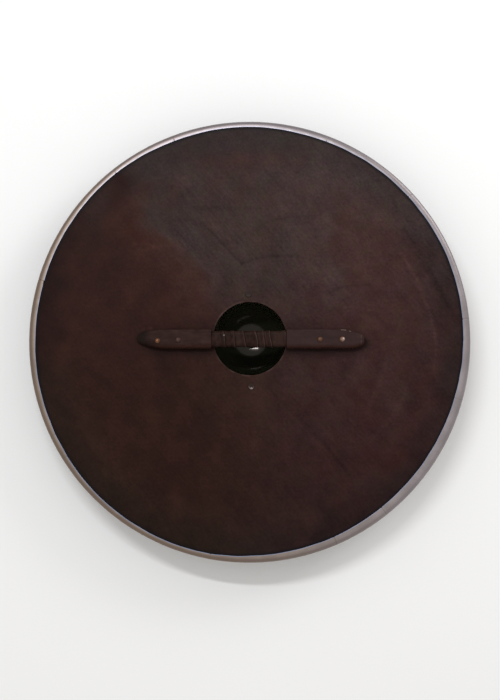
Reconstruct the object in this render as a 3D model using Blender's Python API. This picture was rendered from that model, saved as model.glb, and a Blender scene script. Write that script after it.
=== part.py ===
"""Round wooden shield with a steel boss, a steel rim and a wooden hand grip.

The shield lies face down on the flattened top of its boss, so its back, with the grip, faces up.
Z is the board's axis. The grip bar runs along X. The origin is below the middle of the board, on the
surface that the boss rests on. All sizes are in metres.
"""
import math

import bmesh
import bpy
from mathutils import Matrix, Vector

# Board and rim
SHIELD_DIAMETER = 0.760
BOARD_THICKNESS = 0.011
HAND_HOLE_RADIUS = 0.0630
HAND_HOLE_CENTRE = (0.0016, 0.0037)     # sawn by hand, a little off the board's middle
HOLE_CHAMFER = 0.0008
BOARD_EDGE = 0.0026         # chamfer of the outer edge, inside the rim
RIM_SHEET = 0.001
RIM_LAP = 0.0120            # from the outer edge to the inner edge of each leg
RIM_BEND = 0.0040           # outer radius of the channel's two bends
RIM_BITE = 0.0002           # how deep the rim has pressed itself into each face of the board
RIM_JOINT_STEP = 40         # facets anticlockwise from +X to the joint of the strip's two ends
RIM_JOINT_GAP = 0.0006

# Boss: a pressed dome with a flat flange, riveted to the front of the board
BOSS_CENTRE = (0.0024, 0.0028)
BOSS_SHEET = 0.0018
DOME_INNER_RADIUS = 0.065
DOME_REST_RADIUS = 0.0125   # flattened top, on which the shield lies level
FLANGE_RADIUS = 0.092
FLANGE_BEND = 0.003
RIVET_CIRCLE_CENTRE = (0.0018, 0.0010)
RIVET_CIRCLE_RADIUS = 0.0796
RIVET_CIRCLE_TURN = 1.7     # degrees anticlockwise

# Grip bar
BAR_LENGTH = 0.390
BAR_HALF_WIDTH = 0.01625
BAR_HEIGHT = 0.017
BAR_EDGE = 0.0048           # rounding of the two long edges that face the hand
BAR_FOOT_EDGE = 0.0008
BAR_CENTRE = (0.0025, 0.0025)
POINTED_NOSE = 0.027        # length of the half ellipse at -X
NOSE_TIP_HEIGHT = 0.009
NOSE_SLOPE_SHARE = 0.9      # how much of that length slopes down to the tip
BLUNT_TAPER = (0.038, 0.026)        # lengths at +X, on the +Y and the -Y side
BLUNT_END_SHARE = (0.38, 0.60)      # half widths left at the end, as shares of the bar's
BLUNT_CURVE = (1.35, 2.2)           # powers of the two tapers: 1 is straight, more is fuller
BLUNT_TIP_HEIGHT = 0.011
GRIP_START_X = -0.0635
GRIP_END_X = 0.0640
GRIP_HALF_WIDTH = 0.0125
GRIP_LOW = 0.0028           # underside and top of the narrowed grip, above the board
GRIP_TOP = 0.0146
GRIP_EDGE = 0.0050
SHOULDER = 0.0010

# Leather wound round the grip: the X of the free edge of each turn, at the middle of the bar
WRAP_EDGES_X = (-0.0405, -0.0243, -0.0069, 0.0146, 0.0262, 0.0372)
WRAP_LEATHER = 0.0009
WRAP_STEP = 0.0008
WRAP_LEAN = 0.0018

# Rivets and tack
HANDLE_RIVETS = ((-0.1556, -0.0004), (-0.1204, 0.0006), (0.1216, 0.0014), (0.1591, 0.0017))
HANDLE_SHANK_RADIUS = 0.0020
HANDLE_HEAD_RADIUS = 0.0052
HANDLE_HEAD_HEIGHT = 0.0022
HANDLE_TAIL_RADIUS = 0.0042
HANDLE_TAIL_HEIGHT = 0.0014
BOSS_SHANK_RADIUS = 0.0024
BOSS_HEAD_RADIUS = 0.0062
BOSS_HEAD_HEIGHT = 0.0030
BOSS_TAIL_RADIUS = 0.0056
BOSS_TAIL_HEIGHT = 0.0012
BOSS_TAIL_DIMPLE_RADIUS = 0.0036
BOSS_TAIL_DIMPLE_DEPTH = 0.0008
TACK_PLACE = (-0.0422, 0.0084)
TACK_HEAD_RADIUS = 0.0023
TACK_HEAD_HEIGHT = 0.0011
TACK_SHANK_RADIUS = 0.0008
TACK_SHANK_LENGTH = 0.0080

GAP = 0.0003                # clearance between pieces that touch
ROUND_STEPS = 88            # facets of the board and the rim
BOSS_STEPS = 40
RIVET_STEPS = 10

# Heights that follow from the sizes above
DOME_OUTER_RADIUS = DOME_INNER_RADIUS + BOSS_SHEET
DOME_CENTRE_Z = math.sqrt(DOME_OUTER_RADIUS ** 2 - DOME_REST_RADIUS ** 2)
FLANGE_FRONT_Z = DOME_CENTRE_Z + FLANGE_BEND
FLANGE_BACK_Z = FLANGE_FRONT_Z + BOSS_SHEET
BOARD_FRONT_Z = FLANGE_BACK_Z + GAP
BOARD_BACK_Z = BOARD_FRONT_Z + BOARD_THICKNESS
BAR_FOOT_Z = BOARD_BACK_Z + GAP
BAR_TOP_Z = BAR_FOOT_Z + BAR_HEIGHT
BAR_START_X = BAR_CENTRE[0] - BAR_LENGTH / 2
BAR_END_X = BAR_CENTRE[0] + BAR_LENGTH / 2
BOARD_RADIUS = SHIELD_DIAMETER / 2 - RIM_SHEET - GAP


def clear_scene():
    for obj in list(bpy.data.objects):
        bpy.data.objects.remove(obj, do_unlink=True)


def material(name, colour, roughness, metallic=0.0):
    mat = bpy.data.materials.new(name)
    mat.use_nodes = True
    shader = mat.node_tree.nodes["Principled BSDF"]
    shader.inputs["Base Color"].default_value = (*colour, 1.0)
    shader.inputs["Roughness"].default_value = roughness
    shader.inputs["Metallic"].default_value = metallic
    return mat


def mesh_object(name, bm, mat=None, sharp_angle=35.0):
    """Turn a bmesh into an object with outward faces and smooth round surfaces."""
    bmesh.ops.recalc_face_normals(bm, faces=bm.faces)
    mesh = bpy.data.meshes.new(name)
    bm.to_mesh(mesh)
    bm.free()
    mesh.shade_smooth()
    mesh.set_sharp_from_angle(angle=math.radians(sharp_angle))
    obj = bpy.data.objects.new(name, mesh)
    bpy.context.scene.collection.objects.link(obj)
    if mat:
        mesh.materials.append(mat)
    return obj


def arc(centre, radius, start, end, steps):
    """Points (r, z) on an arc between two angles in degrees, both ends included."""
    angles = [math.radians(start + (end - start) * i / steps) for i in range(steps + 1)]
    return [(centre[0] + radius * math.cos(a), centre[1] + radius * math.sin(a)) for a in angles]


def turned(name, profile, steps, mat, closed=False):
    """Spin a profile of (r, z) points round Z. A closed profile makes a ring."""
    bm = bmesh.new()
    verts = [bm.verts.new((r, 0.0, z)) for r, z in profile]
    pairs = list(zip(verts, verts[1:]))
    if closed:
        pairs.append((verts[-1], verts[0]))
    edges = [bm.edges.new(pair) for pair in pairs]
    bmesh.ops.spin(bm, geom=verts + edges, cent=(0, 0, 0), axis=(0, 0, 1),
                   angle=math.tau, steps=steps, use_merge=True)
    bmesh.ops.remove_doubles(bm, verts=bm.verts, dist=1e-6)
    return mesh_object(name, bm, mat)


def swept_channel(name, profile, start, sweep, steps, mat):
    """Carry a closed outline of (r, z) points round Z from one angle, with both ends capped."""
    bm = bmesh.new()
    face = bm.faces.new([bm.verts.new((r, 0.0, z)) for r, z in profile])
    bmesh.ops.rotate(bm, verts=bm.verts, cent=(0, 0, 0), matrix=Matrix.Rotation(start, 3, "Z"))
    bmesh.ops.spin(bm, geom=[face], cent=(0, 0, 0), axis=(0, 0, 1), angle=sweep, steps=steps)
    return mesh_object(name, bm, mat)


def lofted(name, rings, mat, closed=False):
    """Join rings of points one after another, and cap the two ends unless the row is closed."""
    bm = bmesh.new()
    loops = [[bm.verts.new(point) for point in ring] for ring in rings]
    pairs = list(zip(loops, loops[1:]))
    if closed:
        pairs.append((loops[-1], loops[0]))
    for near, far in pairs:
        for i in range(len(near)):
            j = (i + 1) % len(near)
            bm.faces.new((near[i], near[j], far[j], far[i]))
    if not closed:
        bm.faces.new(loops[0])
        bm.faces.new(loops[-1])
    return mesh_object(name, bm, mat)


def rods(name, places, radius, low, high):
    """Upright round cutters at the given (x, y) places, in one hidden object."""
    bm = bmesh.new()
    for x, y in places:
        middle = Matrix.Translation((x, y, (low + high) / 2))
        bmesh.ops.create_cone(bm, cap_ends=True, segments=RIVET_STEPS, radius1=radius,
                              radius2=radius, depth=high - low, matrix=middle)
    cutter = mesh_object(name, bm)
    cutter.hide_render = True
    cutter.display_type = "WIRE"
    return cutter


def drill(obj, *cutters):
    for cutter in cutters:
        cut = obj.modifiers.new(cutter.name, "BOOLEAN")
        cut.object = cutter


def boss_rivet_places():
    """The (x, y) of the four boss rivets; the middle two of the list lie off the bar's line."""
    angles = [math.radians(RIVET_CIRCLE_TURN + quarter) for quarter in (0, 90, 270, 180)]
    return [(RIVET_CIRCLE_CENTRE[0] + RIVET_CIRCLE_RADIUS * math.cos(a),
             RIVET_CIRCLE_CENTRE[1] + RIVET_CIRCLE_RADIUS * math.sin(a)) for a in angles]


def make_board(mat):
    """Flat plywood disc, slightly thinner where the rim bites it, with its hand hole moved off centre."""
    low, high = BOARD_FRONT_Z, BOARD_BACK_Z
    inner, bevel, bite = HAND_HOLE_RADIUS, HOLE_CHAMFER, RIM_BITE
    lip = SHIELD_DIAMETER / 2 - RIM_LAP - GAP
    edge = BOARD_RADIUS - BOARD_EDGE
    profile = [(inner, low + bevel), (inner + bevel, low), (lip, low), (lip + bite, low + bite),
               (edge, low + bite), (BOARD_RADIUS, low + bite + BOARD_EDGE),
               (BOARD_RADIUS, high - bite - BOARD_EDGE), (edge, high - bite),
               (lip + bite, high - bite), (lip, high), (inner + bevel, high), (inner, high - bevel)]
    board = turned("board", profile, ROUND_STEPS, mat, closed=True)
    for vert in board.data.vertices:
        if vert.co.xy.length < lip / 2:
            vert.co.xy += Vector(HAND_HOLE_CENTRE)
    return board


def make_rim(mat):
    """Sheet steel folded over the edge of the board; its ends meet with a fine gap."""
    outer = SHIELD_DIAMETER / 2
    lip = outer - RIM_LAP
    low = BOARD_FRONT_Z - GAP - RIM_SHEET
    high = BOARD_BACK_Z + GAP + RIM_SHEET
    bend = RIM_BEND
    inside = RIM_BEND - RIM_SHEET
    corner = outer - bend
    profile = [(lip, low)]
    profile += arc((corner, low + bend), bend, -90, 0, 2)
    profile += arc((corner, high - bend), bend, 0, 90, 2)
    profile += [(lip, high), (lip, high - RIM_SHEET)]
    profile += arc((corner, high - bend), inside, 90, 0, 1)
    profile += arc((corner, low + bend), inside, 0, -90, 1)
    profile += [(lip, low + RIM_SHEET)]
    gap_angle = RIM_JOINT_GAP / outer
    start = math.tau * RIM_JOINT_STEP / ROUND_STEPS + gap_angle / 2
    return swept_channel("rim", profile, start, math.tau - gap_angle, ROUND_STEPS, mat)


def make_boss(mat):
    """Dome and flange of one pressed sheet, with the top of the dome flattened."""
    centre = (0.0, DOME_CENTRE_Z)
    root = (DOME_OUTER_RADIUS + FLANGE_BEND, DOME_CENTRE_Z)
    edge = BOSS_SHEET / 3
    outer_start = -math.degrees(math.acos(DOME_REST_RADIUS / DOME_OUTER_RADIUS))
    inner_start = -math.degrees(math.asin((DOME_CENTRE_Z - BOSS_SHEET) / DOME_INNER_RADIUS))
    profile = [(0.0, 0.0)]
    profile += arc(centre, DOME_OUTER_RADIUS, outer_start, 0, 8)
    profile += arc(root, FLANGE_BEND, 180, 90, 2)[1:]
    profile += [(FLANGE_RADIUS - edge, FLANGE_FRONT_Z), (FLANGE_RADIUS, FLANGE_FRONT_Z + edge),
                (FLANGE_RADIUS, FLANGE_BACK_Z - edge), (FLANGE_RADIUS - edge, FLANGE_BACK_Z)]
    profile += arc(root, FLANGE_BEND + BOSS_SHEET, 90, 180, 2)
    profile += arc(centre, DOME_INNER_RADIUS, 0, inner_start, 8)[1:]
    profile += [(0.0, BOSS_SHEET)]
    boss = turned("boss", profile, BOSS_STEPS, mat)
    boss.location = (*BOSS_CENTRE, 0.0)
    return boss


def bar_section(half_width, low, high, low_edge, high_edge):
    """Outline (y, z) of the bar across its length: a box with rounded corners."""
    steps = 3
    points = arc((half_width - low_edge, low + low_edge), low_edge, -90, 0, steps)
    points += arc((half_width - high_edge, high - high_edge), high_edge, 0, 90, steps)
    points += arc((high_edge - half_width, high - high_edge), high_edge, 90, 180, steps)
    points += arc((low_edge - half_width, low + low_edge), low_edge, 180, 270, steps)
    return points


def across(x, outline):
    """Stand an outline of (y, z) points up at one X, with heights counted from the board."""
    return [(x, BAR_CENTRE[1] + y, BAR_FOOT_Z + z) for y, z in outline]


def blunt_shares(x):
    """What is left of the bar's half width on the +Y and the -Y side, on the way to its blunt end."""
    shares = []
    for length, end_share, curve in zip(BLUNT_TAPER, BLUNT_END_SHARE, BLUNT_CURVE):
        along = max(0.0, 1 - (BAR_END_X - x) / length)
        shares.append(1 - (1 - end_share) * along ** curve)
    return shares


def make_handle(mat):
    """One wooden bar: a pointed nose at -X, a blunt one at +X, and a narrowed grip between."""
    def body(x, upper, lower, height):
        half_width = BAR_HALF_WIDTH * (upper + lower) / 2
        shift = BAR_HALF_WIDTH * (upper - lower) / 2
        edge = min(BAR_EDGE, 0.6 * half_width, 0.45 * height)
        outline = bar_section(half_width, 0.0, height, BAR_FOOT_EDGE, edge)
        return across(x, [(y + shift, z) for y, z in outline])

    def grip(x):
        return across(x, bar_section(GRIP_HALF_WIDTH, GRIP_LOW, GRIP_TOP, GRIP_EDGE, GRIP_EDGE))

    rings = []
    for turn in (12, 28, 46, 66, 90):
        along = 1 - math.cos(math.radians(turn))
        width = math.sin(math.radians(turn))
        rise = min(1.0, along / NOSE_SLOPE_SHARE)
        height = NOSE_TIP_HEIGHT + (BAR_HEIGHT - NOSE_TIP_HEIGHT) * rise
        rings.append(body(BAR_START_X + POINTED_NOSE * along, width, width, height))
    rings[0] = [(BAR_START_X, y, z) for _, y, z in rings[0]]
    rings.append(body(GRIP_START_X - SHOULDER, 1.0, 1.0, BAR_HEIGHT))
    rings.append(grip(GRIP_START_X))
    rings.append(grip(GRIP_END_X))
    rings.append(body(GRIP_END_X + SHOULDER, 1.0, 1.0, BAR_HEIGHT))
    longest = max(BLUNT_TAPER)
    for left in (1.0, 0.66, 0.36, 0.12):
        x = BAR_END_X - longest * left
        rings.append(body(x, *blunt_shares(x), BAR_HEIGHT))
    rings.append(body(BAR_END_X, *BLUNT_END_SHARE, BLUNT_TIP_HEIGHT))
    return lofted("handle", rings, mat)


def make_wrap(mat):
    """Leather strip wound round the grip: each turn lies over the one to its right."""
    def layer(x, thickness):
        grow = GAP + thickness
        outline = bar_section(GRIP_HALF_WIDTH + grow, GRIP_LOW - grow, GRIP_TOP + grow,
                              GRIP_EDGE + grow, GRIP_EDGE + grow)
        return [(x - WRAP_LEAN * y / GRIP_HALF_WIDTH, y, z) for y, z in outline]

    def straight(x, thickness):
        return [(x, y, z) for _, y, z in layer(x, thickness)]

    start, end = GRIP_START_X + GAP, GRIP_END_X - GAP
    rings = [straight(start, 0.0), straight(start, WRAP_LEATHER)]
    for x in WRAP_EDGES_X:
        rings.append(layer(x - SHOULDER / 2, WRAP_LEATHER + WRAP_STEP))
        rings.append(layer(x, WRAP_LEATHER))
    rings += [straight(end, WRAP_LEATHER + WRAP_STEP), straight(end, 0.0)]
    placed = [[(x, BAR_CENTRE[1] + y, BAR_FOOT_Z + z) for x, y, z in ring] for ring in rings]
    return lofted("grip_wrap", placed, mat, closed=True)


def dome_profile(radius, height, base, up):
    """Half outline of a low domed head, from its edge to its top, on the axis."""
    sphere = (radius ** 2 + height ** 2) / (2 * height)
    spread = math.asin(radius / sphere)
    points = []
    for i in range(4):
        angle = spread * (1 - i / 3)
        points.append((sphere * math.sin(angle), base + up * (height - sphere * (1 - math.cos(angle)))))
    points[-1] = (0.0, points[-1][1])
    return points


def make_handle_rivets(mat):
    """Copper rivets through bar and board, with a domed head at the back and a hammered tail."""
    tail_base = BOARD_FRONT_Z - GAP
    head_base = BAR_TOP_Z + GAP
    profile = dome_profile(HANDLE_TAIL_RADIUS, HANDLE_TAIL_HEIGHT, tail_base, -1)[::-1]
    profile += [(HANDLE_SHANK_RADIUS, tail_base), (HANDLE_SHANK_RADIUS, head_base)]
    profile += dome_profile(HANDLE_HEAD_RADIUS, HANDLE_HEAD_HEIGHT, head_base, 1)
    first = turned("handle_rivet_1", profile, RIVET_STEPS, mat)
    copy_to(first, "handle_rivet", HANDLE_RIVETS)


def make_boss_rivets(mat):
    """Steel rivets through flange and board, with a domed head in front and a dimpled tail."""
    head_base = FLANGE_FRONT_Z - GAP
    tail_base = BOARD_BACK_Z + GAP
    top = tail_base + BOSS_TAIL_HEIGHT
    profile = dome_profile(BOSS_HEAD_RADIUS, BOSS_HEAD_HEIGHT, head_base, -1)[::-1]
    profile += [(BOSS_SHANK_RADIUS, head_base), (BOSS_SHANK_RADIUS, tail_base)]
    profile += [(BOSS_TAIL_RADIUS, tail_base), (BOSS_TAIL_RADIUS * 0.8, top)]
    profile += [(BOSS_TAIL_DIMPLE_RADIUS, top), (0.0, top - BOSS_TAIL_DIMPLE_DEPTH)]
    first = turned("boss_rivet_1", profile, RIVET_STEPS, mat)
    copy_to(first, "boss_rivet", boss_rivet_places())


def copy_to(first, stem, places):
    """Put the first piece at the first place, and a copy that shares its mesh at each other."""
    for number, (x, y) in enumerate(places, start=1):
        piece = first
        if number > 1:
            piece = bpy.data.objects.new(f"{stem}_{number}", first.data)
            bpy.context.scene.collection.objects.link(piece)
        piece.location = (x, y, 0.0)


def make_tack(mat):
    """Small domed tack that holds the end of the leather strip."""
    base = BAR_FOOT_Z + GRIP_TOP + WRAP_LEATHER + WRAP_STEP + 2 * GAP
    profile = [(0.0, base - TACK_SHANK_LENGTH), (TACK_SHANK_RADIUS, base - TACK_SHANK_LENGTH),
               (TACK_SHANK_RADIUS, base)]
    profile += dome_profile(TACK_HEAD_RADIUS, TACK_HEAD_HEIGHT, base, 1)
    tack = turned("grip_tack", profile, RIVET_STEPS, mat)
    tack.location = (*TACK_PLACE, 0.0)
    return base


def main():
    clear_scene()
    stained_wood = material("stained_wood", (0.038, 0.018, 0.015), 0.50)
    bar_wood = material("bar_wood", (0.033, 0.017, 0.014), 0.55)
    rim_steel = material("rim_steel", (0.33, 0.29, 0.28), 0.45, 1.0)
    black_enamel = material("black_enamel", (0.009, 0.009, 0.007), 0.12)
    rivet_steel = material("rivet_steel", (0.12, 0.105, 0.095), 0.45, 1.0)
    copper = material("copper", (0.21, 0.11, 0.075), 0.45, 1.0)
    leather = material("leather", (0.023, 0.010, 0.0065), 0.60)
    tack_metal = material("tack_metal", (0.15, 0.12, 0.108), 0.42, 1.0)

    board = make_board(stained_wood)
    make_rim(rim_steel)
    boss = make_boss(black_enamel)
    handle = make_handle(bar_wood)
    wrap = make_wrap(leather)
    make_handle_rivets(copper)
    make_boss_rivets(rivet_steel)
    tack_base = make_tack(tack_metal)

    boss_places = boss_rivet_places()
    boss_holes = rods("boss_rivet_holes", boss_places, BOSS_SHANK_RADIUS + GAP,
                      FLANGE_FRONT_Z - GAP, BOARD_BACK_Z + GAP)
    bar_holes = rods("handle_rivet_holes", HANDLE_RIVETS, HANDLE_SHANK_RADIUS + GAP,
                     BOARD_FRONT_Z - GAP, BAR_TOP_Z + GAP)
    tail_seats = rods("rivet_tail_seats", [boss_places[0], boss_places[3]],
                      BOSS_TAIL_RADIUS + 4 * GAP, BOARD_BACK_Z, BAR_FOOT_Z + BOSS_TAIL_HEIGHT + 2 * GAP)
    tack_hole = rods("tack_hole", [TACK_PLACE], TACK_SHANK_RADIUS + GAP,
                     tack_base - TACK_SHANK_LENGTH - GAP, tack_base)
    drill(board, boss_holes, bar_holes)
    drill(boss, boss_holes)
    drill(handle, bar_holes, tail_seats, tack_hole)
    drill(wrap, tack_hole)


main()
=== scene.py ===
"""Finish and fine surfaces of the wooden round shield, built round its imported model.

The shield lies on the flattened top of its boss with its back up. Z is the board's axis and the grip
bar runs along X. All sizes are in metres. Each piece takes its place and its main sizes from the
model's own nodes and stands for the node of the same name.
"""
import math

import bpy
import numpy as np
from mathutils import Matrix, Vector


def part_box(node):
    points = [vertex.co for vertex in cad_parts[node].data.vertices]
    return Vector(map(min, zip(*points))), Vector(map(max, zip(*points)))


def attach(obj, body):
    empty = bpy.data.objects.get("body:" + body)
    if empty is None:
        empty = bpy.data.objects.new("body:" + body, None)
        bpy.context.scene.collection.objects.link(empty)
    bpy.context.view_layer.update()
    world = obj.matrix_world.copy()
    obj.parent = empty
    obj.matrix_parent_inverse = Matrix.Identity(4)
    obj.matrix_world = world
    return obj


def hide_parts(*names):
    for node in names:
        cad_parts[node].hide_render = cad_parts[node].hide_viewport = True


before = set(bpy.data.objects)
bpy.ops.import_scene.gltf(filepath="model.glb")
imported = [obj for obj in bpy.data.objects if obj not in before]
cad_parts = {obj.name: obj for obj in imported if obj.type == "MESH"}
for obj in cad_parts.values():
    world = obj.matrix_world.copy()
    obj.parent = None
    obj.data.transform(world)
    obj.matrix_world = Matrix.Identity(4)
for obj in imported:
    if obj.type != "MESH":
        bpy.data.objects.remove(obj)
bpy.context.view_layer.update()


# ---------------------------------------------------------------- sizes read from the model

def span(node):
    """Lowest and highest corner of a node, as arrays."""
    low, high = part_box(node)
    return np.array(low), np.array(high)


def corners_of(node):
    """Every corner of a node's mesh, one to a row."""
    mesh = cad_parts[node].data
    points = np.empty(len(mesh.vertices) * 3, np.float32)
    mesh.vertices.foreach_get("co", points)
    return points.reshape(-1, 3).astype(float)


def hand_hole():
    """Middle and radius of the hand hole: the board's corners that lie nearest its axis."""
    points = corners_of("board")[:, :2]
    nearest = points[np.hypot(*points.T) < 0.072]
    middle = (nearest.min(0) + nearest.max(0)) / 2
    return middle, np.hypot(*(nearest - middle).T).min()


def round_node(node):
    """Middle, radius, foot and top of a node that is round about an upright axis."""
    low, high = span(node)
    return (low + high) / 2, (high[0] - low[0]) / 2, low[2], high[2]


BOARD_LOW, BOARD_HIGH = span("board")
RIM_LOW, RIM_HIGH = span("rim")
BOSS_BACK = span("boss")[1][2]
BAR_LOW, BAR_HIGH = span("handle")
WRAP_LOW, WRAP_HIGH = span("grip_wrap")
FRONT_Z, BACK_Z = BOARD_LOW[2], BOARD_HIGH[2]
BOARD_RADIUS = BOARD_HIGH[0]
HOLE_MIDDLE, HOLE_RADIUS = hand_hole()
RIM_RADIUS = RIM_HIGH[0]
LIP_RADIUS = np.hypot(*corners_of("rim")[:, :2].T).min()
BAR_MIDDLE_Y = (BAR_LOW[1] + BAR_HIGH[1]) / 2

# Sizes that the boxes don't give
PLIES = 5
DISH_DEPTH = 0.00035        # of the dishes in the wood round the rivets
RIM_SHEET = 0.0010
RIM_FLAT = 0.0006           # level part of the folded sheet, next to its inner edge
RIM_NOSE_POWER = 2.2        # 2 is an ellipse, more is squarer
RIM_WAVER = ((-0.0017, 0.0014), (-0.0005, 0.0018), (0.0010, 0.0008))    # uneven lap: 1, 2 and 3 waves
BOSS_SHEET = 0.0018
BOSS_REST_RADIUS = 0.0125
BOSS_BEND = 0.0030
POINTED_NOSE = 0.027
POINTED_TIP_HEIGHT = 0.0065
NOSE_CUTS = ((0.0016, 0.022, 0.018), (0.0036, 0.016, 0.018))    # at +Y and -Y: depth, middle and length
NOSE_BEVELS = ((0.0018, 0.022, 0.014), (0.0050, 0.020, 0.012))  # the same, of the edge's extra radius
BLUNT_TAPER = (0.038, 0.026)        # lengths at +X, on the +Y and the -Y side
BLUNT_END_SHARE = (0.38, 0.60)      # half widths left at the end, as shares of the bar's
BLUNT_CURVE = (1.35, 2.2)           # powers of those tapers
BLUNT_TIP_HEIGHT = 0.011
BLUNT_ROUND = 0.0060                # length over which the blunt end drops
BAR_EDGES = (0.0018, 0.0084)        # radii of the bar's upper edges, on the +Y and the -Y side
GRIP_HALF_WIDTH = 0.0125
GRIP_FOOT = 0.0028          # the grip's underside and top, above the bar's foot
GRIP_TOP = 0.0146
GRIP_EDGE = 0.0050
WRAP_EDGES_X = (-0.0405, -0.0243, -0.0069, 0.0146, 0.0262, 0.0372)
WRAP_EDGE_SHARES = (0.50, 0.75, 0.95, 1.20, 0.85, 1.0)      # how rubbed each of those edges is
LEATHER = 0.0009
LEATHER_STEP = 0.0008
CRIMP_TURNS = (5.7, 42.0, 68.7, 110.4, 128.4, 205.8, 212.4, 259.8, 293.4, 308.4, 344.4)     # degrees
JOINT_TURN = 360 * 40 / 88  # where the two ends of the rim meet, in degrees
JOINT_GAP = 0.0006
TAIL_RADIUS = 0.0056        # of the boss rivets' tails, on the back
# A tail's outline from its edge to its dished middle, as shares of its radius and of its height
TAIL_OUT = np.array([1.0, 1.03, 1.0, 0.93, 0.84, 0.76, 0.68, 0.58, 0.46, 0.32, 0.18, 0.06])
TAIL_UP = np.array([0.0, 0.3, 0.62, 0.9, 1.0, 0.97, 0.84, 0.66, 0.50, 0.40, 0.36, 0.35])

# Places round a full turn
BOARD_PLACES = 640
RIM_PLACES = 760
BOSS_PLACES = 224
RIVET_PLACES = 72
TACK_PLACES = 48


# ---------------------------------------------------------------- formulas shared by the pieces

def smooth(low, high, value):
    """0 below low, 1 above high, and an S curve between them."""
    share = np.clip((value - low) / (high - low), 0.0, 1.0)
    return share * share * (3 - 2 * share)


def bell(distance, width):
    """1 at no distance, falling away as a bell curve of this half width."""
    return np.exp(-(distance / width) ** 2)


def waves(x, y, seed, shortest, longest, count=24):
    """Soft random relief, about -2 to 2: a sum of sine waves over a plane, each with its own heading,
    length and start."""
    draw = np.random.default_rng(seed)
    headings = draw.uniform(0, math.tau, count)
    lengths = shortest * (longest / shortest) ** draw.uniform(0, 1, count)
    starts = draw.uniform(0, math.tau, count)
    total = np.zeros(np.broadcast(x, y).shape)
    for heading, length, start in zip(headings, lengths, starts):
        total += np.sin((x * math.cos(heading) + y * math.sin(heading)) * math.tau / length + start)
    return total / math.sqrt(count / 2)


def ring_waves(turn, seed, fewest, most, count=16):
    """Soft random relief round a ring, about -2 to 2: sine waves with a whole number of periods."""
    draw = np.random.default_rng(seed)
    periods = draw.integers(fewest, most, count)
    starts = draw.uniform(0, math.tau, count)
    total = sum(np.sin(number * turn + start) for number, start in zip(periods, starts))
    return total / math.sqrt(count / 2)


def ring(places):
    """Angles of places spread evenly round a full turn."""
    return np.arange(places) * math.tau / places


def aside(turn, heading):
    """How far an angle is from a heading given in degrees, from half a turn back to half a turn on."""
    return (turn - math.radians(heading) + math.pi) % math.tau - math.pi


def outline(*parts):
    """Radii and heights of a whole outline, from the pairs that its parts are given as.

    Either of a pair may be one number. The third array says which part each row is from.
    """
    pairs = [np.broadcast_arrays(*np.atleast_1d(radius, height)) for radius, height in parts]
    radius, height = (np.concatenate(side) for side in zip(*pairs))
    return radius, height, np.repeat(np.arange(len(parts)), [len(pair[0]) for pair in pairs])


def arc(radius, swing, middle_r, middle_z):
    """Radii and heights along an arc: its middle, plus its radius times cosine and sine of the swing."""
    return middle_r + radius * np.cos(swing), middle_z + radius * np.sin(swing)


def squared_round(places, power):
    """A squared half ellipse from its top to its foot: cosine (0 to 1, outwards) and sine (1 to -1,
    upwards) of an even swing, both raised to the same power."""
    swing = np.linspace(math.pi / 2, -math.pi / 2, places)
    return np.abs(np.cos(swing)) ** power, np.sign(swing) * np.abs(np.sin(swing)) ** power


# ---------------------------------------------------------------- meshes

def add_piece(node, finish, points, values, ends="pole", crease=38.0):
    """A closed mesh that rides on the shield's one body and stands for a node.

    points[i, j] is place j round row i. Each row is a ring, and the rows are joined one after another.
    The first and last are "joined" to each other, closed "flat" by one face each, or closed at a "pole"
    by a fan to the row's middle. Values are numbers kept at the points, for the finish to read. The
    faces are turned so that the volume is positive.
    """
    rows, places = points.shape[:2]
    index = np.arange(rows * places).reshape(rows, places)
    here = index if ends == "joined" else index[:-1]
    after = np.roll(index, -1, 0)[:len(here)]
    quads = np.stack([here, np.roll(here, -1, 1), np.roll(after, -1, 1), after], -1).reshape(-1, 4)
    faces = [quads]
    corners = points.reshape(-1, 3)
    kept = {key: np.broadcast_to(value, (rows, places)).ravel() for key, value in values.items()}
    if ends == "pole":
        for last in (index[0], index[-1][::-1]):
            faces.append(np.stack([np.roll(last, -1), last, np.full(places, len(corners))], -1))
            corners = np.vstack([corners, corners[last].mean(0)])
            kept = {key: np.append(value, value[last].mean()) for key, value in kept.items()}
    elif ends == "flat":
        faces += [index[:1, ::-1], index[-1:]]
    a, b, c, d = corners[quads.T]
    if np.sum(a * (np.cross(b, c) + np.cross(c, d))) < 0:
        faces = [face[:, ::-1] for face in faces]
    counts = np.concatenate([np.full(len(face), face.shape[1]) for face in faces])
    mesh = bpy.data.meshes.new("fine_" + node)
    mesh.vertices.add(len(corners))
    mesh.vertices.foreach_set("co", corners.astype(np.float32).ravel())
    mesh.loops.add(int(counts.sum()))
    loops = np.concatenate([face.ravel() for face in faces])
    mesh.loops.foreach_set("vertex_index", loops.astype(np.int32))
    mesh.polygons.add(len(counts))
    mesh.polygons.foreach_set("loop_start", (np.cumsum(counts) - counts).astype(np.int32))
    mesh.update(calc_edges=True)
    for key, value in kept.items():
        mesh.attributes.new(key, "FLOAT", "POINT").data.foreach_set("value", value.astype(np.float32))
    mesh.shade_smooth()
    mesh.set_sharp_from_angle(angle=math.radians(crease))
    mesh.materials.append(finish)
    piece = bpy.data.objects.new(mesh.name, mesh)
    bpy.context.scene.collection.objects.link(piece)
    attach(piece, "root")
    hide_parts(node)


def turned(middle, radius, height, places):
    """Rows of points: an outline of radii and heights, turned about an upright axis."""
    turn, radius = ring(places), radius[:, None]
    x, y = middle[0] + radius * np.cos(turn), middle[1] + radius * np.sin(turn)
    return np.stack(np.broadcast_arrays(x, y, height[:, None]), -1)


# ---------------------------------------------------------------- finishes

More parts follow.
